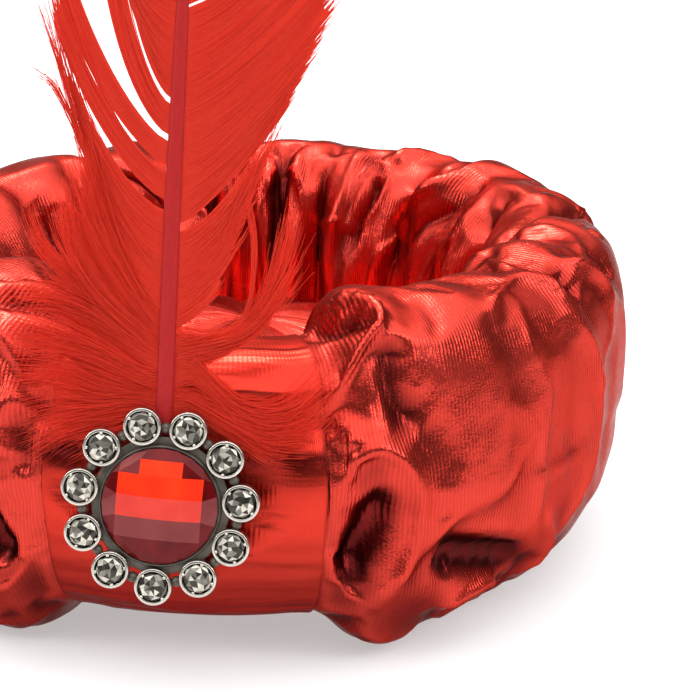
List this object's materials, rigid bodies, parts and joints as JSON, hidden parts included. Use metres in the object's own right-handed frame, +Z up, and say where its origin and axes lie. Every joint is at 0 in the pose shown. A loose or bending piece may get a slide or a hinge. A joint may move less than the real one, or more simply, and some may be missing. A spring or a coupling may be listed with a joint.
{
  "type": "padded turban hat with plume and jewelled brooch",
  "caption": "Padded ring turban in red foil cloth with a shallow pleated cap, a front band, a feather plume and a round jewelled brooch.",
  "frame": {"origin": "the middle of the hat's box, on the surface that it rests on", "axes": "+Z up; -Y is the front, with the brooch and plume; +X is to the right as the front is looked at"},
  "size_m": [0.2764, 0.3126, 0.2702],
  "materials": {
    "foil_cloth": "crinkled red metallic foil on ribbed knit",
    "band_cloth": "smooth stretched red metallic foil cloth",
    "silver_metal": "cast silver-coloured metal, dark in its recesses",
    "red_glass": "clear red, cut in square facets",
    "clear_glass": "clear grey, foil backed, cut in facets",
    "feather": "dyed red barbs on a crimson quill"
  },
  "bodies": {
    "root": {"padded_roll": "foil_cloth", "crown": "foil_cloth", "front_band": "band_cloth", "brooch_setting": "silver_metal", "centre_stone": "red_glass", "rim_stone_01": "clear_glass", "rim_stone_02": "clear_glass", "rim_stone_03": "clear_glass", "rim_stone_04": "clear_glass", "rim_stone_05": "clear_glass", "rim_stone_06": "clear_glass", "rim_stone_07": "clear_glass", "rim_stone_08": "clear_glass", "rim_stone_09": "clear_glass", "rim_stone_10": "clear_glass", "rim_stone_11": "clear_glass", "plume": "feather"}
  },
  "joints": []
}
